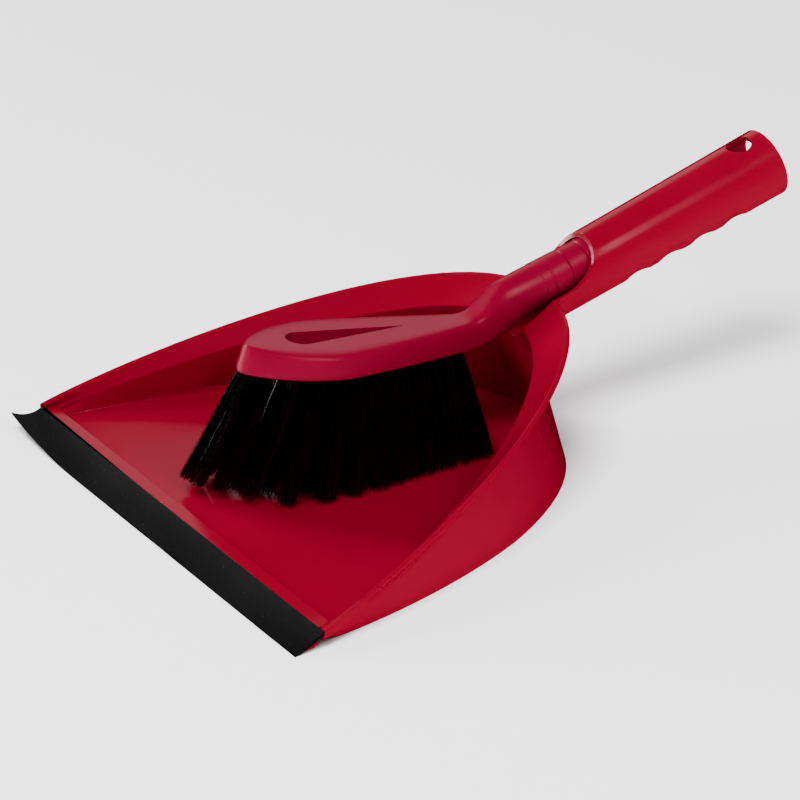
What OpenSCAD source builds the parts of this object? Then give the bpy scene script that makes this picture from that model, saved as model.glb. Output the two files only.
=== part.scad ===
// Dust pan and hand brush set, nested for storage.
// The round brush handle slides in the hollow handle of the pan, along the tube's own slope.
// X runs across the pan, the rubber lip faces -Y, both handles run to +Y, and +Z is up.
// The set stands on Z = 0, on the bottom of the pan.

/* [Pan] */
// Width of the pan at its lip
pan_width = 250; // [200:1:300]
// Length of the scoop, from the rear edge of the lip to the middle of the back
scoop_length = 192; // [150:1:240]
// Height of the rim at the front corners
rim_front_height = 10.2; // [8.5:0.1:16]
// Height of the rim at the middle of the back
rim_back_height = 69; // [50:0.5:90]
// Thickness of the moulded walls
wall = 2.2; // [1.6:0.1:3.5]
// Height of the upper face of the floor
floor_height = 4.4; // [3:0.1:7]
// Thickness of the floor
floor_thickness = 2.2; // [1.6:0.1:2.6]
// Width of the flared band at the back, from rim to crease
band_back = 17; // [10:0.5:24]
// Width of the flared band at the front corners
band_front = 3; // [2:0.5:6]
// Depth of the flared band at the back
band_drop_back = 11.2; // [6:0.2:18]
// Depth of the flared band at the front corners
band_drop_front = 5; // [3:0.2:6]
// Set-back of the wall's foot at the front corners
foot_inset = 5; // [1:0.5:8]

/* [Front bar and lip] */
// Height of the bar behind the lip
bar_height = 8; // [6:0.1:9]
// Length of the bar's flat top, front to back
bar_depth = 7; // [5:0.5:12]
// Reach of the tongue under the rubber
tongue_reach = 9; // [5:0.5:12]
// Reach of the rubber lip in front of the bar
lip_reach = 14.2; // [10:0.1:20]
// Thickness of the rubber
lip_thickness = 1.7; // [1.2:0.1:2.6]

/* [Pan handle] */
// Slope of the hollow handle above level
tube_slope = 15.5; // [8:0.5:25]
// Outside diameter at the back of the scoop
tube_front_d = 30.8; // [28:0.2:40]
// Outside diameter at the open end
tube_end_d = 33; // [29:0.2:44]
// Length from the back of the scoop to the open end
tube_length = 130; // [110:1:170]
// Wall thickness of the hollow handle
tube_wall = 2.1; // [1.8:0.1:3]
// Distance from the back of the scoop to the top of the mouth
mouth_distance = 28; // [20:1:40]
// Radius of the sweep from the mouth down to the trough
mouth_radius = 26; // [18:1:34]
// Finger hollows: length of one
grip_pitch = 18.7; // [14:0.1:22]
// Finger hollows: depth
grip_depth = 1.4; // [0.4:0.1:1.5]
// Diameter of the hanging hole
hang_hole_d = 12.2; // [6:0.2:16]
// Distance of the hanging hole from the open end
hang_hole_inset = 12.4; // [10:0.2:25]

/* [Brush] */
// Widest part of the head
head_width = 50; // [36:1:60]
// Width of the head where the neck starts
neck_width = 18; // [15:0.5:24]
// Distance from the lip's rear edge to the nose of the head
head_start = 33.5; // [28:0.5:50]
// Length of the rounded nose
nose_length = 41.5; // [25:0.5:50]
// Length of the head from nose to neck
head_length = 121.5; // [90:0.5:150]
// Thickness of the head
head_thickness = 12.4; // [10:0.1:16]
// Height of the head's top face above its nose
head_top_front = 80; // [74:0.1:90]
// Downward slope of the head toward the neck
head_slope = 7.6; // [3:0.1:9]
// Diameter of the brush handle
handle_d = 20.4; // [17:0.1:21]
// Length of the handle inside the tube and trough
handle_length = 99; // [70:1:105]
// Tilt of the brush handle against the tube
handle_tilt = 2.8; // [1:0.1:4]
// Gap between the brush handle and the top of the mouth
mouth_gap = 0.4; // [0.3:0.05:1]
// Depth of the ring grooves
ring_depth = 0.6; // [0.2:0.1:1]
// First ring groove, from the thin end of the neck
ring_start = 5.6; // [4:0.1:8]
// Spacing of the ring grooves
ring_pitch = 9.7; // [6:0.1:12]
// Depth of the teardrop pocket in the head
pocket_depth = 6.2; // [2:0.1:6.5]
// Length of the teardrop pocket
pocket_length = 60; // [30:1:70]
// Width of the teardrop pocket
pocket_width = 14; // [8:0.5:18]

/* [Bristles] */
// Diameter of a tuft hole
tuft_hole_d = 4.4; // [3:0.1:5]
// Depth of a tuft hole
tuft_hole_depth = 5.4; // [4:0.1:6]
// Gap between a tuft and its hole
tuft_gap = 0.1; // [0.05:0.05:0.3]
// Diameter of a tuft at its tips
tuft_tip_d = 5.4; // [4.5:0.1:7.5]
// Gap between the bristle tips and the floor at the rear
tip_gap = 0.7; // [0.4:0.1:3]
// Extra height of the tips at the nose
tip_rise = 4.3; // [0:0.5:10]
// Forward lean of the tufts under the nose
nose_lean = 18; // [5:0.5:22]
// Backward lean of the tufts nearest the neck
rear_lean = 7; // [0:0.5:12]

/* [Part] */

/* [Hidden] */
$fn = 96;
stations = 36;
foot_rise = 12;
lip_gap = 0.02;
half_width = pan_width / 2;
side_power = 2 / 2.12;
back_power = 2 / 1.42;
tube_base = [0, scoop_length, rim_back_height - 1];
tube_front_r = tube_front_d / 2;
tube_end_r = tube_end_d / 2;
last_y = scoop_length + tube_length * cos(tube_slope) + tube_end_r * sin(tube_slope);
middle_y = (last_y - lip_reach) / 2;
tube_draft = (tube_end_r - tube_front_r) / tube_length;
bore_front_r = tube_front_r - tube_wall;
grip_start = 36;
grip_count = 4;
head_end = head_start + head_length;
head_half = head_width / 2;
neck_half = neck_width / 2;
handle_r = handle_d / 2;
collar_r = handle_r + 0.2;
handle_end_r = handle_r - 1;
handle_rise = bore_front_r + tube_draft * mouth_distance - collar_r - mouth_gap;
handle_begin = -2.3;
neck_end = scoop_length + 2;
ring_points = 32;
outer_tufts = 26;
inner_tufts = 17;
pan_colour = "#B40024";
brush_colour = "#AE0A2C";
rubber_colour = "#232123";
bristle_colour = "#0C0C0E";
steel_colour = "#B8BABD";

// Puts the middle of the set's length at the origin.
module placed()
    translate([0, -middle_y, 0])
        children();

// ---- pan ----

// Plan outline of the pan: angle 0 is the right front corner, 90 the back, 180 the left corner.
function outline(a) = [
    half_width * sign(cos(a)) * pow(abs(cos(a)), side_power),
    scoop_length * pow(abs(sin(a)), back_power)
];

function unit(v) = v / norm(v);

function outward(a) =
    let (d = outline(min(a + 1, 180)) - outline(max(a - 1, 0)))
    unit([d[1], -d[0]]);

function rim_z(y) = rim_front_height + (rim_back_height - rim_front_height) * y / scoop_length;
function band_in(y) = band_front + (band_back - band_front) * y / scoop_length;
function band_drop(y) = band_drop_front + (band_drop_back - band_drop_front) * y / scoop_length;
function foot_in(y) = foot_inset * max(0, 1 - y / 120);
function foot_z(y) = (floor_height - floor_thickness - 0.05) * pow(max(0, 1 - y / foot_rise), 1.5);
function skirt(y) = 1.1 + 1.9 * min(1, y / foot_rise);

// Open section of the shell, as [distance inward from the outline, height]. It runs from the
// underside of the floor, round the foot, up the outside, over the rim, and down to the floor.
function shell_section(y) =
    let (
        zr = rim_z(y),
        zc = zr - band_drop(y),
        c = band_in(y),
        b = foot_in(y),
        f = min(3.2, (zc - floor_height) / 2),
        e = b + wall + 0.2
    ) [
        [e + f, floor_height - floor_thickness],
        [e, floor_height - floor_thickness],
        [e, foot_z(y)],
        [b, foot_z(y)],
        [c - wall - 0.5, zc - skirt(y)],
        [c - wall - 1, zc - 0.8],
        [0.5, zr - 2.6],
        [-0.3, zr - 1.9],
        [-0.5, zr - 1],
        [0.1, zr - 0.2],
        [1.1, zr],
        [2, zr - 0.4],
        [2.6, zr - 1.2],
        [c - 1.2, zc + 1],
        [c - 0.2, zc + 0.1],
        [c, max(zc - 1, floor_height + f + 0.1)],
        [e, floor_height + f],
        [e + f / 4, floor_height + f / 4],
        [e + f, floor_height]
    ];

// The scoop: walls and floor in one closed skin.
module scoop() {
    last = 2 * stations;
    n = len(shell_section(0));
    points = [
        for (i = [0:last])
            let (a = 90 * i / stations, p = outline(a), d = i % last == 0 ? [1 - 2 * i / last, 0] : outward(a))
            for (s = shell_section(p[1]))
                [p[0] - d[0] * s[0], p[1] - d[1] * s[0], s[1]]
    ];
    faces = [
        for (i = [0:last - 1], j = [0:n - 2])
            [i * n + j, i * n + j + 1, (i + 1) * n + j + 1],
        for (i = [0:last - 1], j = [0:n - 2])
            [i * n + j, (i + 1) * n + j + 1, (i + 1) * n + j],
        for (k = [0, n - 1], i = [0:stations - 1])
            let (q = [i * n + k, (i + 1) * n + k, (last - i - 1) * n + k, (last - i) * n + k])
            let (t = i == stations - 1 ? [q[0], q[1], q[3]] : q)
            k == 0 ? t : [for (m = [1:len(t)]) t[len(t) - m]],
        concat([for (j = [0:n - 1]) n - 1 - j], [for (j = [0:n - 1]) last * n + j])
    ];
    polyhedron(points, faces);
}

// Skin over rings of equal length: quads split into triangles, and a fan on each end.
module skin(rings) {
    n = len(rings[0]);
    m = len(rings);
    points = [
        for (r = rings) each r,
        [for (k = [0:2]) mean(rings[0], k)],
        [for (k = [0:2]) mean(rings[m - 1], k)]
    ];
    faces = [
        for (i = [0:m - 2], j = [0:n - 1])
            [i * n + j, i * n + (j + 1) % n, (i + 1) * n + (j + 1) % n],
        for (i = [0:m - 2], j = [0:n - 1])
            [i * n + j, (i + 1) * n + (j + 1) % n, (i + 1) * n + j],
        for (j = [0:n - 1])
            [(j + 1) % n, j, m * n],
        for (j = [0:n - 1])
            [(m - 1) * n + j, (m - 1) * n + (j + 1) % n, m * n + 1]
    ];
    polyhedron(points, faces);
}

function mean(ring, k, i = 0) =
    i == len(ring) ? 0 : ring[i][k] / len(ring) + mean(ring, k, i + 1);

// Extrudes a [y, z] profile across the pan.
module across(width)
    rotate([90, 0, 90])
        translate([0, 0, -width / 2])
            linear_extrude(width)
                children();

// The bar behind the lip, and the thin tongue that carries the rubber. The bar stands clear of
// the ground, and its ends are bevelled underneath where the foot of the wall rises.
module front_bar() {
    half_tongue = tongue_reach * 0.45;
    seat = lip_thickness + lip_gap;
    low = floor_height - floor_thickness - 0.3;
    difference() {
        across(pan_width - 3)
            polygon([
                [-0.4, low],
                [bar_depth + 1, low],
                [bar_depth + 1, floor_height - 0.8],
                [bar_depth, bar_height - 0.6],
                [bar_depth - 0.5, bar_height],
                [0.1, bar_height],
                [0.1, bar_height - seat],
                [-half_tongue, lip_drop(half_tongue) - seat],
                [-tongue_reach, lip_drop(tongue_reach) - seat],
                [-tongue_reach, 0.4],
                [-half_tongue, 1.2]
            ]);
        for (s = [-1, 1])
            translate([s * half_width, bar_depth + 3, low])
                rotate([90, 0, 0])
                    linear_extrude(bar_depth + 5)
                        polygon([[-7 * s, -2], [2 * s, -2], [2 * s, 4.4], [-7 * s, -0.2]]);
    }
}

// Frame of the hollow handle: its axis along local +Z, local +Y up and across the slope.
module on_tube()
    translate(tube_base)
        rotate([tube_slope - 90, 0, 0])
            mirror([0, 1, 0])
                children();

// Outer form of the lower side, with the finger hollows, turned about an axis above the tube's.
module grip_form() {
    steps = 8;
    slack = 0.3;
    translate([0, grip_depth, 0])
        rotate_extrude()
            polygon([
                [0, -21],
                [tube_front_r + grip_depth + slack - 21 * tube_draft, -21],
                for (i = [0:grip_count * steps])
                    let (t = grip_start + grip_pitch * i / steps)
                    [
                        tube_front_r + tube_draft * t + grip_depth + slack
                            - (grip_depth + slack) * abs(sin(180 * i / steps)),
                        t
                    ],
                [tube_end_r + grip_depth + slack, tube_length + 1],
                [0, tube_length + 1]
            ]);
}

module tube_outside()
    difference() {
        intersection() {
            translate([0, 0, -20])
                cylinder(h = tube_length + 20, r1 = tube_front_r - 20 * tube_draft, r2 = tube_end_r);
            grip_form();
        }
        mouth_cut();
    }

// Opens the front of the tube into a trough: a sweep under the mouth, a level edge before it,
// and a slope that follows the flared band.
module mouth_cut() {
    centre_z = mouth_distance - sqrt(pow(mouth_radius, 2) - pow(mouth_radius - tube_front_r, 2));
    sweep = 78;
    across(2 * tube_end_d)
        polygon([
            [mouth_radius + 1 - mouth_radius * cos(sweep), -60],
            [1 - 60 * tan(tube_slope), -60],
            [1, 0],
            for (i = [0:14])
                let (a = sweep * i / 14)
                [mouth_radius + 1 - mouth_radius * cos(a), centre_z + mouth_radius * sin(a)],
            [60, centre_z + mouth_radius * sin(sweep) + 4],
            [60, -60]
        ]);
}

module dustpan()
    color(pan_colour) placed()
        difference() {
            union() {
                scoop();
                front_bar();
                on_tube() tube_outside();
            }
            on_tube() {
                translate([0, 0, -34])
                    cylinder(
                        h = tube_length + 36,
                        r1 = bore_front_r - 34 * tube_draft,
                        r2 = bore_front_r + (tube_length + 2) * tube_draft
                    );
                translate([0, 0, tube_length - hang_hole_inset])
                    rotate([-90, 0, 0])
                        cylinder(h = tube_end_d, d = hang_hole_d);
            }
        }

// ---- rubber lip ----

// Height of the lip's top face at a distance in front of the bar: steep first, then flattening.
function lip_drop(d) =
    let (u = d / lip_reach)
    lip_thickness * 0.6 + (bar_height - lip_thickness * 0.6) * (1 - u) * (1 - 0.35 * u);

module rubber_lip()
    color(rubber_colour) placed()
        across(pan_width)
            polygon([
                for (i = [0:10])
                    [-lip_reach * i / 10, lip_drop(lip_reach * i / 10)],
                [-lip_reach + 0.3, 0],
                [-tongue_reach - 0.1, 0.3],
                [-tongue_reach - 0.1, lip_drop(tongue_reach) - lip_thickness],
                [-tongue_reach * 0.45, lip_drop(tongue_reach * 0.45) - lip_thickness],
                [0, bar_height - lip_thickness]
            ]);

// ---- brush ----

function head_top(y) = head_top_front - (y - head_start) * tan(head_slope);
function head_bottom(y) = head_top(y) - head_thickness;

// Half width of the head's lower outline.
function head_w(y) =
    y < head_start + nose_length
        ? head_half * pow(1 - pow(max(0, 1 - (y - head_start) / nose_length), 1.7), 1 / 1.7)
        : head_half + (neck_half - head_half) *
            pow(min(1, (y - head_start - nose_length) / (head_length - nose_length)), 1.25);

// Outward direction of the plan outline on the +X side.
function head_normal(y) =
    let (d = 0.6, y0 = max(y - d, head_start), y1 = y + d)
    unit([y1 - y0, head_w(y0) - head_w(y1)]);

// Height of the brush handle's axis: it leans down into the tube.
function handle_n(t) = handle_rise - (t - mouth_distance) * tan(handle_tilt);
handle_origin = tube_base
    + handle_begin * [0, cos(tube_slope), sin(tube_slope)]
    + handle_n(handle_begin) * [0, -sin(tube_slope), cos(tube_slope)];
handle_slope = tube_slope - handle_tilt;
function handle_z(y) = handle_origin[2] + (y - handle_origin[1]) * tan(handle_slope);

function ease(u) = let (v = min(1, max(0, u))) v * v * (3 - 2 * v);
function mix(a, b, u) = a + (b - a) * u;
function top_z(y) =
    mix(head_top(y), handle_z(y) + handle_r / cos(handle_slope) - 0.15, ease((y - head_end + 6) / 21));
function bottom_z(y) =
    mix(head_bottom(y), handle_z(y) - handle_r / cos(handle_slope) + 0.15, ease((y - head_end - 3) / 25));
function body_w(y) =
    mix(head_w(y), handle_r - 0.15, ease((y - head_end + 5) / 26));

// Ring of the body at a station: a rounded box on the head, with sides that lean inward to the
// top, that becomes a circle at the neck.
function body_ring(y) =
    let (
        w = body_w(y),
        zt = top_z(y),
        zb = bottom_z(y),
        boxy = 1 - ease((y - head_end + 8) / 26),
        n = y < head_end ? head_normal(y) : [1, 0],
        inset = boxy * (2.4 + 1.8 * max(0, -n[1]))
    ) [
        for (j = [0:ring_points - 1])
            let (
                a = 360 * (j + 0.5) / ring_points,
                p = mix(1, a < 180 ? 0.36 : 0.22, boxy),
                cx = sign(cos(a)) * pow(abs(cos(a)), p),
                sz = sign(sin(a)) * pow(abs(sin(a)), p),
                d = inset * (1 + sz) / 2
            )
            [
                cx * (w - d * n[0]),
                y - d * n[1],
                (zt + zb) / 2 + sz * (zt - zb) / 2 + d * n[1] * tan(head_slope)
            ]
    ];

nose_stations = [for (i = [0:9]) head_start + nose_length * (1 - cos(8 + 82 * i / 9))];
head_stations = [for (i = [1:10]) mix(head_start + nose_length, head_end - 6, i / 10)];
neck_stations = [for (i = [1:14]) mix(head_end - 6, neck_end, i / 14)];

module brush_loft()
    mirror([1, 0, 0])
        skin([for (y = concat(nose_stations, head_stations, neck_stations)) body_ring(y)]);

// Round handle with four ring grooves and a collar, turned in one piece.
module handle_turning() {
    g = 0.5;
    last = ring_start + 3 * ring_pitch;
    rotate_extrude()
        polygon([
            [0, 0],
            [handle_r - ring_depth, 0],
            [handle_r, g],
            for (k = [0:3], s = [-1, 0, 1])
                [
                    (k == 3 || (k == 2 && s == 1) ? collar_r : handle_r) - (s == 0 ? ring_depth : 0),
                    ring_start + k * ring_pitch + s * g
                ],
            [collar_r, last + 8],
            [handle_end_r, handle_length - 2],
            [handle_end_r - 1.5, handle_length],
            [0, handle_length]
        ]);
}

// Blind teardrop pocket: round at the nose end, pointed toward the neck.
module pocket() {
    r = pocket_width / 2;
    d = pocket_length - r;
    b = acos(r / d);
    y0 = head_start + 25 + r;
    translate([0, y0, head_top(y0)])
        rotate([-head_slope, 0, 0])
            translate([0, 0, -pocket_depth])
                linear_extrude(pocket_depth + 20)
                    polygon([
                        for (i = [0:28])
                            let (a = b + (360 - 2 * b) * i / 28)
                            [r * sin(a), r * cos(a)],
                        [0, d]
                    ]);
}

// ---- tufts ----

// The outer ring holds 13 tufts a side: five round the nose, and eight along the straight side.
side_count = outer_tufts / 2;
nose_angles = [14, 38, 57, 74, 90];
tuft_inset = 4.5;
tuft_pitch = (head_end - 12 - head_start - nose_length) / (side_count - 5);

function ring_y(k) =
    k < 5
        ? head_start + nose_length * (1 - cos(nose_angles[k]))
        : head_start + nose_length + tuft_pitch * (k - 4);

// Forward or backward run of a tuft for each unit of its drop.
function tuft_run(y) =
    tan(rear_lean) * ease((y - head_start - 80) / 32) - tan(nose_lean) * (1 - ease((y - head_start - 22) / 40));

// Root of outer tuft i on the head's lower face; even numbers are on the right.
function outer_root(i) =
    let (
        side = i % 2 == 0 ? 1 : -1,
        y = ring_y(floor(i / 2)),
        n = head_normal(y),
        q = [head_w(y), y] - tuft_inset * n
    )
    [side * max(q[0], 3), q[1], head_bottom(q[1])];

// The tips of the side rows keep the distance apart that the widest roots have.
function outer_dir(i) =
    let (
        p = outer_root(i),
        side = sign(p[0]),
        tip_x = mix(abs(p[0]) + 0.8, head_half - tuft_inset, ease((p[1] - head_start - 15) / 25)),
        drop = p[2] - floor_height
    )
    unit([side * (tip_x - abs(p[0])) / drop, tuft_run(p[1]), -1]);

// Inner tufts: seven pairs under the wide part of the head, then three on the centre line.
function inner_root(i) =
    let (
        pairs = 14,
        x = i < pairs ? (i % 2 == 0 ? 1 : -1) * head_half * 0.28 : 0,
        y = head_start + (i < pairs ? 19 + 10.2 * floor(i / 2) : 90 + 9.5 * (i - pairs))
    )
    [x, y, head_bottom(y)];

function inner_dir(i) =
    let (p = inner_root(i))
    unit([p[0] * 0.004, tuft_run(p[1]), -1]);

function tip_z(y) = floor_height + tip_gap + tip_rise * max(0, (head_start + 32 - y) / 32);

// Points local +Z along a tuft, from its root.
module along(p, d)
    translate(p)
        rotate([0, acos(d[2]), atan2(d[1], d[0])])
            children();

module tuft(p, d) {
    root_in = tuft_hole_depth - 1.5;
    tip_r = tuft_tip_d / 2;
    reach = (p[2] - tip_z(p[1])) / -d[2] - tip_r * norm([d[0], d[1]]) / -d[2];
    along(p, d) {
        translate([0, 0, -root_in])
            cylinder(h = root_in + 1.2, r = tuft_hole_d / 2 - tuft_gap);
        translate([0, 0, 1.2])
            cylinder(h = reach - 1.2, r1 = tuft_hole_d / 2 - tuft_gap, r2 = tip_r);
    }
}

module tuft_hole(p, d)
    along(p, d)
        translate([0, 0, -tuft_hole_depth])
            cylinder(h = tuft_hole_depth + 4, d = tuft_hole_d);

module staple(p, d)
    along(p, d)
        translate([-1.7, -0.25, 0.2 - tuft_hole_depth])
            cube([3.4, 0.5, 1.1]);

module brush_body()
    color(brush_colour) placed()
        difference() {
            union() {
                brush_loft();
                translate(handle_origin)
                    rotate([handle_slope - 90, 0, 0])
                        handle_turning();
            }
            pocket();
            for (i = [0:outer_tufts - 1])
                tuft_hole(outer_root(i), outer_dir(i));
            for (i = [0:inner_tufts - 1])
                tuft_hole(inner_root(i), inner_dir(i));
        }

module tuft_staples()
    color(steel_colour) placed() {
        for (i = [0:outer_tufts - 1])
            staple(outer_root(i), outer_dir(i));
        for (i = [0:inner_tufts - 1])
            staple(inner_root(i), inner_dir(i));
    }

module tuft_outer_01() color(bristle_colour) placed() tuft(outer_root(0), outer_dir(0));
module tuft_outer_02() color(bristle_colour) placed() tuft(outer_root(1), outer_dir(1));
module tuft_outer_03() color(bristle_colour) placed() tuft(outer_root(2), outer_dir(2));
module tuft_outer_04() color(bristle_colour) placed() tuft(outer_root(3), outer_dir(3));
module tuft_outer_05() color(bristle_colour) placed() tuft(outer_root(4), outer_dir(4));
module tuft_outer_06() color(bristle_colour) placed() tuft(outer_root(5), outer_dir(5));
module tuft_outer_07() color(bristle_colour) placed() tuft(outer_root(6), outer_dir(6));
module tuft_outer_08() color(bristle_colour) placed() tuft(outer_root(7), outer_dir(7));
module tuft_outer_09() color(bristle_colour) placed() tuft(outer_root(8), outer_dir(8));
module tuft_outer_10() color(bristle_colour) placed() tuft(outer_root(9), outer_dir(9));
module tuft_outer_11() color(bristle_colour) placed() tuft(outer_root(10), outer_dir(10));
module tuft_outer_12() color(bristle_colour) placed() tuft(outer_root(11), outer_dir(11));
module tuft_outer_13() color(bristle_colour) placed() tuft(outer_root(12), outer_dir(12));
module tuft_outer_14() color(bristle_colour) placed() tuft(outer_root(13), outer_dir(13));
module tuft_outer_15() color(bristle_colour) placed() tuft(outer_root(14), outer_dir(14));
module tuft_outer_16() color(bristle_colour) placed() tuft(outer_root(15), outer_dir(15));
module tuft_outer_17() color(bristle_colour) placed() tuft(outer_root(16), outer_dir(16));
module tuft_outer_18() color(bristle_colour) placed() tuft(outer_root(17), outer_dir(17));
module tuft_outer_19() color(bristle_colour) placed() tuft(outer_root(18), outer_dir(18));
module tuft_outer_20() color(bristle_colour) placed() tuft(outer_root(19), outer_dir(19));
module tuft_outer_21() color(bristle_colour) placed() tuft(outer_root(20), outer_dir(20));
module tuft_outer_22() color(bristle_colour) placed() tuft(outer_root(21), outer_dir(21));
module tuft_outer_23() color(bristle_colour) placed() tuft(outer_root(22), outer_dir(22));
module tuft_outer_24() color(bristle_colour) placed() tuft(outer_root(23), outer_dir(23));
module tuft_outer_25() color(bristle_colour) placed() tuft(outer_root(24), outer_dir(24));
module tuft_outer_26() color(bristle_colour) placed() tuft(outer_root(25), outer_dir(25));
module tuft_inner_01() color(bristle_colour) placed() tuft(inner_root(0), inner_dir(0));
module tuft_inner_02() color(bristle_colour) placed() tuft(inner_root(1), inner_dir(1));
module tuft_inner_03() color(bristle_colour) placed() tuft(inner_root(2), inner_dir(2));
module tuft_inner_04() color(bristle_colour) placed() tuft(inner_root(3), inner_dir(3));
module tuft_inner_05() color(bristle_colour) placed() tuft(inner_root(4), inner_dir(4));
module tuft_inner_06() color(bristle_colour) placed() tuft(inner_root(5), inner_dir(5));
module tuft_inner_07() color(bristle_colour) placed() tuft(inner_root(6), inner_dir(6));
module tuft_inner_08() color(bristle_colour) placed() tuft(inner_root(7), inner_dir(7));
module tuft_inner_09() color(bristle_colour) placed() tuft(inner_root(8), inner_dir(8));
module tuft_inner_10() color(bristle_colour) placed() tuft(inner_root(9), inner_dir(9));
module tuft_inner_11() color(bristle_colour) placed() tuft(inner_root(10), inner_dir(10));
module tuft_inner_12() color(bristle_colour) placed() tuft(inner_root(11), inner_dir(11));
module tuft_inner_13() color(bristle_colour) placed() tuft(inner_root(12), inner_dir(12));
module tuft_inner_14() color(bristle_colour) placed() tuft(inner_root(13), inner_dir(13));
module tuft_inner_15() color(bristle_colour) placed() tuft(inner_root(14), inner_dir(14));
module tuft_inner_16() color(bristle_colour) placed() tuft(inner_root(15), inner_dir(15));
module tuft_inner_17() color(bristle_colour) placed() tuft(inner_root(16), inner_dir(16));

// ---- nodes ----

dustpan();
rubber_lip();
brush_body();
tuft_staples();
tuft_outer_01();
tuft_outer_02();
tuft_outer_03();
tuft_outer_04();
tuft_outer_05();
tuft_outer_06();
tuft_outer_07();
tuft_outer_08();
tuft_outer_09();
tuft_outer_10();
tuft_outer_11();
tuft_outer_12();
tuft_outer_13();
tuft_outer_14();
tuft_outer_15();
tuft_outer_16();
tuft_outer_17();
tuft_outer_18();
tuft_outer_19();
tuft_outer_20();
tuft_outer_21();
tuft_outer_22();
tuft_outer_23();
tuft_outer_24();
tuft_outer_25();
tuft_outer_26();
tuft_inner_01();
tuft_inner_02();
tuft_inner_03();
tuft_inner_04();
tuft_inner_05();
tuft_inner_06();
tuft_inner_07();
tuft_inner_08();
tuft_inner_09();
tuft_inner_10();
tuft_inner_11();
tuft_inner_12();
tuft_inner_13();
tuft_inner_14();
tuft_inner_15();
tuft_inner_16();
tuft_inner_17();
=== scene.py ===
import math
import bpy
import numpy as np
from mathutils import Matrix, Vector


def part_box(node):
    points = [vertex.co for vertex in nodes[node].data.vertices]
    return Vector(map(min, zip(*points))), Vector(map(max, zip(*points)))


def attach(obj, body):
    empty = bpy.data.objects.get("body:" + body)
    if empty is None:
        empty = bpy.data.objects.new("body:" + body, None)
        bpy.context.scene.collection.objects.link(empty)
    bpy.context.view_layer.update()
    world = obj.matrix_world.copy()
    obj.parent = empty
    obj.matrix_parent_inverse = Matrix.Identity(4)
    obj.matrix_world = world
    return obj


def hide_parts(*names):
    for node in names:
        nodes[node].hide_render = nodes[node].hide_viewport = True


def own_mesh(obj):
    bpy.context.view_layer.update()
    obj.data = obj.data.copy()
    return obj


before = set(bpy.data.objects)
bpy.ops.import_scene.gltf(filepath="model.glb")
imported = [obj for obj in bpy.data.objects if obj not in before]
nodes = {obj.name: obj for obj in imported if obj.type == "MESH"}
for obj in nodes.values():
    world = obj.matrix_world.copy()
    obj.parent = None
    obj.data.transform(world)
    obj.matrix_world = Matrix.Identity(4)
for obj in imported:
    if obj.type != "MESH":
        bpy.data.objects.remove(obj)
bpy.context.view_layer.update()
SEED = 11
rng = np.random.default_rng(SEED)


# ---------------------------------------------------------------- node helpers

def new_material(name):
    material = bpy.data.materials.new(name)
    material.use_nodes = True
    nt = material.node_tree
    return material, nt, nt.nodes["Principled BSDF"]


def object_coordinates(nt):
    return nt.nodes.new("ShaderNodeTexCoord").outputs["Object"]


def noise(nt, place, scale, detail=2.0, roughness=0.5, stretch=None):
    n = nt.nodes.new("ShaderNodeTexNoise")
    n.inputs["Scale"].default_value = scale
    n.inputs["Detail"].default_value = detail
    n.inputs["Roughness"].default_value = roughness
    if stretch:
        mapping = nt.nodes.new("ShaderNodeMapping")
        mapping.inputs["Scale"].default_value = stretch
        nt.links.new(place, mapping.inputs["Vector"])
        place = mapping.outputs["Vector"]
    nt.links.new(place, n.inputs["Vector"])
    return n.outputs["Fac"]


def ramp(nt, value, lo, hi, out_lo=0, out_hi=1):
    """Map value from lo..hi to out_lo..out_hi."""
    r = nt.nodes.new("ShaderNodeMapRange")
    r.inputs["From Min"].default_value = lo
    r.inputs["From Max"].default_value = hi
    r.inputs["To Min"].default_value = out_lo
    r.inputs["To Max"].default_value = out_hi
    nt.links.new(value, r.inputs["Value"])
    return r.outputs["Result"]


def mix_colour(nt, factor, a, b):
    """Blend from a to b; a is an RGB triple or another node's output, b is an RGB triple."""
    m = nt.nodes.new("ShaderNodeMix")
    m.data_type = "RGBA"
    nt.links.new(factor, m.inputs["Factor"])
    if isinstance(a, tuple):
        m.inputs["A"].default_value = (*a, 1)
    else:
        nt.links.new(a, m.inputs["A"])
    m.inputs["B"].default_value = (*b, 1)
    return m.outputs["Result"]


def bump(nt, height, strength, distance, under=None):
    b = nt.nodes.new("ShaderNodeBump")
    b.inputs["Strength"].default_value = strength
    b.inputs["Distance"].default_value = distance
    nt.links.new(height, b.inputs["Height"])
    if under:
        nt.links.new(under, b.inputs["Normal"])
    return b.outputs["Normal"]


def soft_edges(nt, radius):
    b = nt.nodes.new("ShaderNodeBevel")
    b.samples = 6
    b.inputs["Radius"].default_value = radius
    return b.outputs["Normal"]


# ---------------------------------------------------------------- materials

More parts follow.
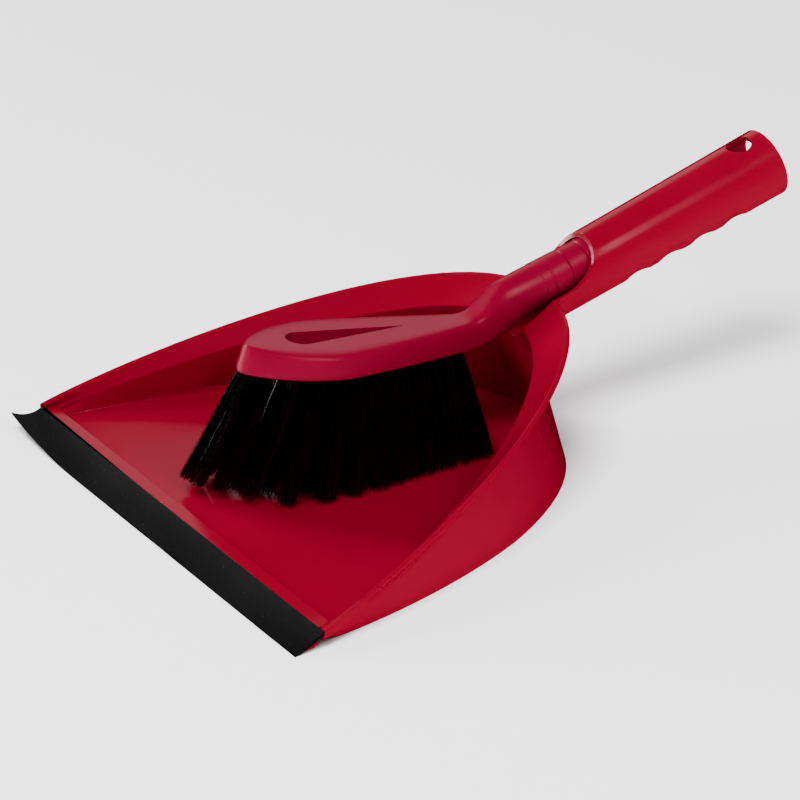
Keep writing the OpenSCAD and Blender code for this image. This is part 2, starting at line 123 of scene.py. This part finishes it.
def pan_plastic():
    """Glossy crimson, with faint scuffs running front to back."""
    material, nt, p = new_material("pan_plastic_look")
    place = object_coordinates(nt)
    cloud = noise(nt, place, 14, 3, 0.55)
    fine = noise(nt, place, 900, 2, 0.6)
    scuff = noise(nt, place, 60, 6, 0.65, (1, 0.12, 1))
    base = mix_colour(nt, ramp(nt, cloud, 0.35, 0.7), (0.25, 0.0, 0.015), (0.28, 0.0, 0.018))
    nt.links.new(base, p.inputs["Base Color"])
    total = nt.nodes.new("ShaderNodeMath")
    total.operation = "ADD"
    nt.links.new(ramp(nt, scuff, 0.5, 0.8, 0.13, 0.22), total.inputs[0])
    nt.links.new(ramp(nt, cloud, 0.3, 0.7, 0.0, 0.04), total.inputs[1])
    nt.links.new(total.outputs[0], p.inputs["Roughness"])
    normal = soft_edges(nt, 0.0004)
    normal = bump(nt, fine, 0.12, 0.00006, normal)
    normal = bump(nt, cloud, 0.25, 0.0004, normal)
    nt.links.new(normal, p.inputs["Normal"])
    p.inputs["IOR"].default_value = 1.33
    p.inputs["Specular Tint"].default_value = (1.0, 0.36, 0.46, 1)
    return material


def brush_plastic():
    """Satin crimson, with a fine moulded grain."""
    material, nt, p = new_material("brush_plastic_look")
    place = object_coordinates(nt)
    grain = noise(nt, place, 2600, 2, 0.6)
    cloud = noise(nt, place, 25, 3, 0.55)
    base = mix_colour(nt, ramp(nt, cloud, 0.35, 0.7), (0.235, 0.0, 0.021), (0.265, 0.0, 0.025))
    nt.links.new(base, p.inputs["Base Color"])
    nt.links.new(ramp(nt, cloud, 0.3, 0.7, 0.28, 0.35), p.inputs["Roughness"])
    normal = bump(nt, grain, 0.35, 0.00012, soft_edges(nt, 0.0006))
    nt.links.new(normal, p.inputs["Normal"])
    p.inputs["IOR"].default_value = 1.36
    p.inputs["Specular Tint"].default_value = (1.0, 0.36, 0.48, 1)
    return material


def rubber():
    """Matt charcoal, with sparse pale specks of dust."""
    material, nt, p = new_material("lip_rubber_look")
    place = object_coordinates(nt)
    cloud = noise(nt, place, 40, 4, 0.6)
    dust = noise(nt, place, 1700, 1, 0.4)
    grain = noise(nt, place, 2200, 2, 0.6)
    clean = mix_colour(nt, ramp(nt, cloud, 0.3, 0.7), (0.0028, 0.0026, 0.0031), (0.005, 0.0047, 0.0054))
    base = mix_colour(nt, ramp(nt, dust, 0.75, 0.79), clean, (0.10, 0.098, 0.10))
    nt.links.new(base, p.inputs["Base Color"])
    nt.links.new(ramp(nt, cloud, 0.3, 0.7, 0.5, 0.62), p.inputs["Roughness"])
    nt.links.new(bump(nt, grain, 0.4, 0.0001), p.inputs["Normal"])
    p.inputs["Specular IOR Level"].default_value = 0.13
    return material


def bristle():
    """Glossy black filament, varied from one to the next."""
    material, nt, p = new_material("bristle_look")
    place = object_coordinates(nt)
    vary = noise(nt, place, 500, 2, 0.5, (1, 1, 0.05))
    base = mix_colour(nt, ramp(nt, vary, 0.3, 0.7), (0.0004, 0.0004, 0.0005), (0.0015, 0.0015, 0.0018))
    nt.links.new(base, p.inputs["Base Color"])
    nt.links.new(ramp(nt, vary, 0.3, 0.7, 0.2, 0.32), p.inputs["Roughness"])
    p.inputs["Specular IOR Level"].default_value = 0.5
    return material


def steel():
    """Drawn wire."""
    material, nt, p = new_material("staple_steel_look")
    cloud = noise(nt, object_coordinates(nt), 800, 2, 0.5)
    nt.links.new(mix_colour(nt, cloud, (0.5, 0.5, 0.52), (0.62, 0.62, 0.64)), p.inputs["Base Color"])
    p.inputs["Metallic"].default_value = 1.0
    p.inputs["Roughness"].default_value = 0.35
    return material


def paper():
    """Plain white background paper."""
    material, nt, p = new_material("paper")
    cloud = noise(nt, object_coordinates(nt), 3, 3, 0.5)
    nt.links.new(mix_colour(nt, cloud, (0.80, 0.80, 0.81), (0.83, 0.83, 0.84)), p.inputs["Base Color"])
    p.inputs["Roughness"].default_value = 0.85
    p.inputs["Specular IOR Level"].default_value = 0.2
    return material


PAN = pan_plastic()
BRUSH = brush_plastic()
RUBBER = rubber()
BRISTLE = bristle()
STEEL = steel()


# ---------------------------------------------------------------- pieces kept from the CAD

WELD_DISTANCE = 0.00002
CAD_SPLIT = math.radians(32)
LIP_SPLIT = math.radians(40)


def smooth(mesh):
    mesh.polygons.foreach_set("use_smooth", [True] * len(mesh.polygons))


def split_edges(piece, angle):
    """Keep edges sharper than the angle crisp on a smooth-shaded piece."""
    piece.modifiers.new("edges", "EDGE_SPLIT").split_angle = angle


def dress(node, material):
    piece = nodes[node]
    mesh = piece.data
    mesh.materials.clear()
    mesh.materials.append(material)
    mesh.polygons.foreach_set("material_index", [0] * len(mesh.polygons))
    smooth(mesh)
    piece.modifiers.new("weld", "WELD").merge_threshold = WELD_DISTANCE
    split_edges(piece, CAD_SPLIT)


dress("dustpan", PAN)
dress("brush_body", BRUSH)
dress("tuft_staples", STEEL)


def new_piece(name, verts, faces, material):
    mesh = bpy.data.meshes.new(name)
    mesh.from_pydata([tuple(v) for v in verts], [], faces)
    smooth(mesh)
    mesh.materials.append(material)
    piece = bpy.data.objects.new(name, mesh)
    bpy.context.scene.collection.objects.link(piece)
    return piece


# ---------------------------------------------------------------- rubber lip

LIP_THICKNESS = 0.0017
LIP_THINNING = 0.35      # share of the thickness lost at the free edge
LIP_FLAT = 0.6           # height of the free edge, in thicknesses
LIP_SAG = 0.35           # how much steeper the lip is at the bar than halfway down
UNDERSIDE_SHIFT = 0.25   # how far the underside stands back at the bar, in thicknesses
CURL_START = 0.058       # the lip curls up from this far left of its middle
CURL_HEIGHT = 0.0086
CURL_PULL = 0.0006       # how far the curled edge reaches forward
LONG_WAVE = 0.00022
LONG_WAVE_RATE = 61      # radians a metre along the lip
SHORT_WAVE = 0.00012
SHORT_WAVE_RATE = 173
LIP_COLUMNS = 240
LIP_ROWS = 20
LOWEST_UNDERSIDE = 0.00005
EDGE_LAP = 0.0002


def build_lip():
    """Strip from the bar (v = 0) down to the free edge (v = 1), with its left end curled up."""
    lo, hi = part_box("rubber_lip")
    half = hi.x
    depth = hi.y - lo.y
    height = hi.z - lo.z
    flat = LIP_THICKNESS * LIP_FLAT

    def upper(x, v):
        z = flat + (height - flat) * (1 - v) * (1 - LIP_SAG * v)
        left = max(0.0, (-x - CURL_START) / (half - CURL_START))
        lift = CURL_HEIGHT * left ** 2.3 * v ** 1.6
        wave = LONG_WAVE * math.sin(x * LONG_WAVE_RATE + 1.0) + SHORT_WAVE * math.sin(x * SHORT_WAVE_RATE)
        return Vector((x, hi.y - depth * v - CURL_PULL * left ** 2 * v, z + lift + wave * v ** 2))

    def lower(x, v):
        p = upper(x, v)
        t = LIP_THICKNESS * (1 - LIP_THINNING * v)
        lap = EDGE_LAP if v == 1 else 0
        return Vector((x, p.y + t * UNDERSIDE_SHIFT * (1 - v) + lap, max(p.z - t, LOWEST_UNDERSIDE)))

    steps = [j / LIP_ROWS for j in range(LIP_ROWS + 1)]
    verts = []
    for i in range(LIP_COLUMNS + 1):
        x = -half + 2 * half * i / LIP_COLUMNS
        verts += [upper(x, v) for v in steps]
        verts += [lower(x, v) for v in reversed(steps)]
    n = 2 * len(steps)
    faces = []
    for i in range(LIP_COLUMNS):
        for j in range(n):
            a = i * n + j
            b = i * n + (j + 1) % n
            faces.append((a, b, b + n, a + n))
    faces.append(tuple(range(n - 1, -1, -1)))
    faces.append(tuple(LIP_COLUMNS * n + j for j in range(n)))
    o = new_piece("rubber_lip_strip", verts, faces, RUBBER)
    o.data.validate()
    split_edges(o, LIP_SPLIT)
    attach(o, "pan")
    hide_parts("rubber_lip")


build_lip()


# ---------------------------------------------------------------- bristles

PAN_FLOOR = 0.0044
FLOOR_GAP = 0.0004
HEAD_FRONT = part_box("brush_body")[0].y
NOSE_INSET = 0.006       # tufts up to this far behind the head's front lean fully
NOSE_FADE = 0.042        # the lean fades out over this distance behind that
NOSE_LEAN = -0.30        # sideways lean of the nose tufts, in lengths
NOSE_RISE = 0.02
NOSE_GATHER = 0.42       # share of the spread lost under the nose

FILAMENT_RADIUS = 0.00019
TIP_TAPER = 0.75
SEGMENTS = 6
SIDES = 3
CLUMPS = 7
CLUMP_RANGE = 0.55
CLUMP_PULL = 0.35        # how far a filament's tip goes with its clump
FAN = 0.8                # how far it follows its own place in the hole
FAN_VARIATION = 0.08
HOLE_RADIUS = 0.0019
LENGTH_VARIATION = 0.012
EXTRA_LENGTH = 0.0004
BEND_VARIATION = 0.00022
BEND_AT = 0.45           # the bend's control point, in lengths from the root
BEND_SPREAD = 0.0014     # how far it stands out there, besides a share of the spread
BEND_SPREAD_SHARE = 0.55
BEND_LEAN = 0.38         # share of the lean reached there
ROOT_BAND = 0.0009
TIP_BAND = 0.0025

OUTER_COUNT = 120
OUTER_SPREAD = 0.0068
INNER_COUNT = 110
INNER_SPREAD = 0.0070


def axis_of(node):
    """Root point, direction to the tip and length of a tuft in the CAD."""
    co = np.array([v.co[:] for v in nodes[node].data.vertices])
    co = np.unique(np.round(co, 6), axis=0)
    z = co[:, 2]
    root = co[z > z.max() - ROOT_BAND].mean(0)
    tip = co[z < z.min() + TIP_BAND].mean(0)
    middle = co.mean(0)
    axes = np.linalg.svd(co - middle)[2]
    ax = axes[0] * np.sign(axes[0] @ (tip - root))
    t = (co - middle) @ ax
    return middle + ax * t.min(), ax, t.max() - t.min()


def across(ax):
    """Two unit directions square to the axis and to each other."""
    ref = np.array([1.0, 0, 0]) if abs(ax[0]) < 0.9 else np.array([0, 1.0, 0])
    u = np.cross(ax, ref)
    u /= np.linalg.norm(u)
    return u, np.cross(ax, u)


def curve(p0, p1, p2):
    """Points along a bent filament, kept off the pan's floor."""
    points = []
    for s in range(SEGMENTS + 1):
        t = s / SEGMENTS
        q = (1 - t) ** 2 * p0 + 2 * t * (1 - t) * p1 + t * t * p2
        q[2] = max(q[2], PAN_FLOOR + FLOOR_GAP)
        points.append(q)
    return points


def add_filament(verts, faces, points, u, w, turn):
    """A thin three-sided rod along the points, with a closed tip."""
    base = len(verts)
    for s, q in enumerate(points):
        radius = FILAMENT_RADIUS * (1.0 if s < SEGMENTS else TIP_TAPER)
        for e in range(SIDES):
            b = turn + 2 * math.pi * e / SIDES
            verts.append(q + (u * math.cos(b) + w * math.sin(b)) * radius)
    for s in range(SEGMENTS):
        for e in range(SIDES):
            a0 = base + s * SIDES + e
            a1 = base + s * SIDES + (e + 1) % SIDES
            faces.append((a0, a1, a1 + SIDES, a0 + SIDES))
    faces.append(tuple(base + SEGMENTS * SIDES + e for e in range(SIDES)))


def build_tuft(node, count, spread):
    root, ax, length = axis_of(node)
    u, w = across(ax)
    # Tufts under the nose lean to one side, and less so further back.
    front = 1 - min(1.0, max(0.0, (root[1] - HEAD_FRONT - NOSE_INSET) / NOSE_FADE))
    front = front * front * (3 - 2 * front)
    lean = np.array([NOSE_LEAN, 0.0, 0.0]) * front * length
    spread = spread * (1 - NOSE_GATHER * front)
    verts, faces = [], []
    clumps = rng.uniform(-1, 1, (CLUMPS, 2)) * CLUMP_RANGE
    for _ in range(count):
        r = math.sqrt(rng.random())
        a = rng.random() * 2 * math.pi
        disc = np.array([r * math.cos(a), r * math.sin(a)])
        clump = clumps[rng.integers(CLUMPS)]
        fan = disc * FAN + clump * CLUMP_PULL + rng.normal(0, FAN_VARIATION, 2)
        p0 = root + (u * disc[0] + w * disc[1]) * HOLE_RADIUS
        reach = length * (1 + rng.normal(0, LENGTH_VARIATION)) + EXTRA_LENGTH
        p2 = root + ax * reach + (u * fan[0] + w * fan[1]) * spread + lean
        p2[2] += NOSE_RISE * front * length
        halfway = (disc + fan) / 2
        side = u * halfway[0] + w * halfway[1]
        p1 = root + ax * reach * BEND_AT + side * (BEND_SPREAD + spread * BEND_SPREAD_SHARE)
        p1 = p1 + lean * BEND_LEAN + rng.normal(0, BEND_VARIATION, 3)
        turn = rng.random() * 2
        add_filament(verts, faces, curve(p0, p1, p2), u, w, turn)
    o = new_piece(node + "_filaments", verts, faces, BRISTLE)
    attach(o, "brush")
    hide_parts(node)
    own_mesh(o)


for name in sorted(nodes):
    if name.startswith("tuft_outer"):
        build_tuft(name, OUTER_COUNT, OUTER_SPREAD)
    elif name.startswith("tuft_inner"):
        build_tuft(name, INNER_COUNT, INNER_SPREAD)


# ---------------------------------------------------------------- stage

PAPER_HALF = 6.0
PAPER_DROP = 0.00005


def floor():
    s = PAPER_HALF
    mesh = bpy.data.meshes.new("floor")
    mesh.from_pydata([(-s, -s, 0), (s, -s, 0), (s, s, 0), (-s, s, 0)], [], [(0, 1, 2, 3)])
    mesh.materials.append(paper())
    o = bpy.data.objects.new("floor", mesh)
    o.location = (0, 0, -PAPER_DROP)
    bpy.context.scene.collection.objects.link(o)
    return o


PAPER = floor()
# The paper is lit far brighter than the set, so its mirror image would wash out the plastic.
PAPER.visible_glossy = False


# ---------------------------------------------------------------- light

def area(name, place, target, size, power, colour=(1, 1, 1), size_y=None):
    lamp = bpy.data.lights.new(name, "AREA")
    lamp.energy = power
    lamp.color = colour
    lamp.shape = "RECTANGLE"
    lamp.size = size
    lamp.size_y = size_y or size
    o = bpy.data.objects.new(name, lamp)
    bpy.context.scene.collection.objects.link(o)
    o.rotation_euler = (Vector(target) - Vector(place)).to_track_quat("-Z", "Y").to_euler()
    o.location = place
    return o


# A broad main light high in front and a key high on the left shape the plastic but show no
# mirror image. A strip on the right puts a highlight along the tube, a tall window stands low on
# the left, and a broad card stands on the left, further back.
main = area("main", (0.70, -0.95, 2.1), (0, 0.0, 0.03), 1.1, 34, (1, 0.995, 0.99))
key = area("key", (-1.15, -0.45, 1.15), (0, 0.0, 0.03), 0.6, 15, (1, 0.99, 0.98), size_y=0.8)
main.visible_glossy = False
key.visible_glossy = False
area("strip", (1.13, 0.27, 1.37), (0, 0, 0.05), 0.26, 11, (0.99, 0.995, 1), size_y=0.6)
area("window", (-1.02, -0.72, 0.26), (0, -0.1, 0.07), 0.15, 9, size_y=0.46)
area("card", (-1.25, 0.75, 0.75), (0, 0, 0.05), 1.2, 2.4, size_y=0.8)

# The wash reaches the paper only.
wash = area("wash", (0.75, -1.0, 2.4), (0.1, 0.1, 0), 1.1, 165)
paper_only = bpy.data.collections.new("paper_only")
paper_only.objects.link(PAPER)
wash.light_linking.receiver_collection = paper_only

world = bpy.data.worlds.new("world")
bpy.context.scene.world = world
world.use_nodes = True
sky = world.node_tree.nodes["Background"]
sky.inputs["Color"].default_value = (0.95, 0.96, 0.98, 1)
sky.inputs["Strength"].default_value = 0.42
world.cycles_visibility.glossy = False


# ---------------------------------------------------------------- camera

# The camera's place is given from the middle of the front bar, at floor level, and the frame's
# origin is 153.7 mm behind that.
BAR_TO_MIDDLE = Vector((0, -0.153743, 0))
CAMERA_PLACE = Vector((1.336658, -0.730538, 0.799326)) + BAR_TO_MIDDLE
CAMERA_RIGHT = Vector((0.535846, 0.844314, -0.001469))
CAMERA_UP = Vector((-0.367514, 0.234809, 0.899888))
CAMERA_BACK = Vector((0.760133, -0.481662, 0.436119))
SENSOR_WIDTH = 36
FOCAL_LENGTH = 177.1
FAR_CLIP = 50

camera = bpy.data.cameras.new("camera")
camera.sensor_width = SENSOR_WIDTH
camera.lens = FOCAL_LENGTH
camera.clip_end = FAR_CLIP
camera_object = bpy.data.objects.new("camera", camera)
bpy.context.scene.collection.objects.link(camera_object)
camera_object.matrix_world = Matrix((
    (CAMERA_RIGHT.x, CAMERA_UP.x, CAMERA_BACK.x, CAMERA_PLACE.x),
    (CAMERA_RIGHT.y, CAMERA_UP.y, CAMERA_BACK.y, CAMERA_PLACE.y),
    (CAMERA_RIGHT.z, CAMERA_UP.z, CAMERA_BACK.z, CAMERA_PLACE.z),
    (0, 0, 0, 1),
))
bpy.context.scene.camera = camera_object
